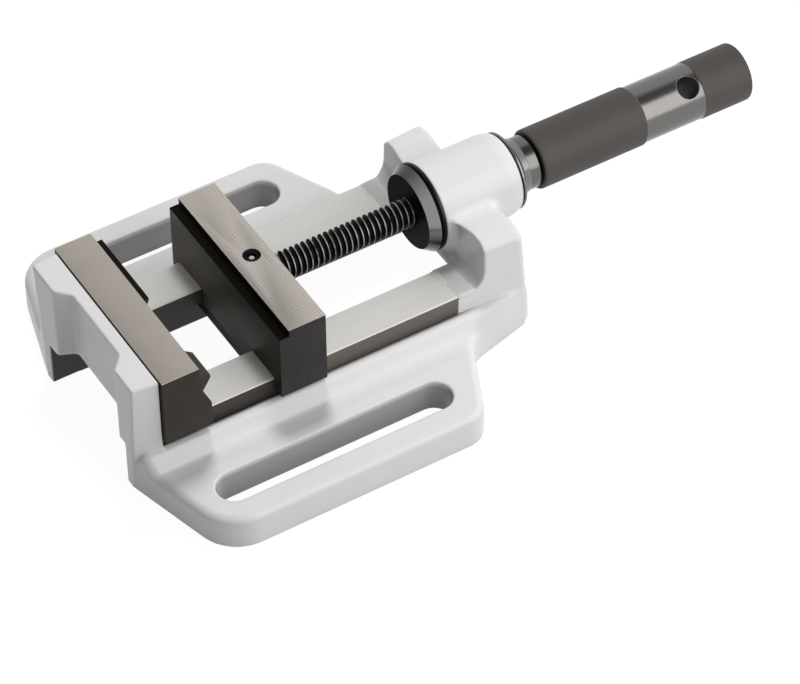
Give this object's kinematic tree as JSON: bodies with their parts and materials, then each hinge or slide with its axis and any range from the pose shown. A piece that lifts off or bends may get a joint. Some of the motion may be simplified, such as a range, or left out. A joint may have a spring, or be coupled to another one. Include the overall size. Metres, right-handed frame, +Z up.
{
  "type": "drill press vise",
  "caption": "Low drill press vise: cast base with slotted lugs, grooved fixed jaw plate, sliding jaw between rails and a screw driven by a turning handle sleeve.",
  "frame": {"origin": "centre of the footprint of the whole vise, on the surface it stands on", "axes": "+X along the screw from the fixed jaw to the handle, +Y across the jaws, +Z up"},
  "size_m": [0.3532, 0.199, 0.0733],
  "materials": {
    "body": "gloss",
    "jaw_plate": "satin",
    "jaw_block": "satin",
    "keeper": "satin",
    "black_steel": "blackened, satin",
    "fastener": "blackened",
    "lock_screw": "bright",
    "ring_steel": "polished",
    "handle_steel": "matte knurl with a polished band"
  },
  "bodies": {
    "vise_body": {"body": "body", "fixed_jaw_plate": "jaw_plate", "fixed_jaw_screw_1": "fastener", "fixed_jaw_screw_2": "fastener"},
    "jaw_carriage": {"moving_jaw": "jaw_block", "keeper_plate": "keeper", "keeper_screw_1": "fastener", "keeper_screw_2": "fastener", "spindle": "black_steel", "spindle_lock_screw": "lock_screw"},
    "handle_assembly": {"nut_sleeve": "black_steel", "thrust_washer": "black_steel", "rear_ring": "ring_steel", "handle": "handle_steel", "handle_grub_screw": "fastener"}
  },
  "joints": [
    {"name": "jaw_slide", "type": "slide", "parent": "vise_body", "child": "jaw_carriage", "axis": [1, 0, 0], "range_m": [-0.035, 0.0648]},
    {"name": "handle_turn", "type": "hinge", "parent": "vise_body", "child": "handle_assembly", "pos_m": [0, 0, 0.0516], "axis": [1, 0, 0], "range_deg": [-4190, 7770]}
  ],
  "couplings": [
    {"joint": "jaw_slide", "follows": "handle_turn", "m_per_rad": 0.00047746}
  ]
}
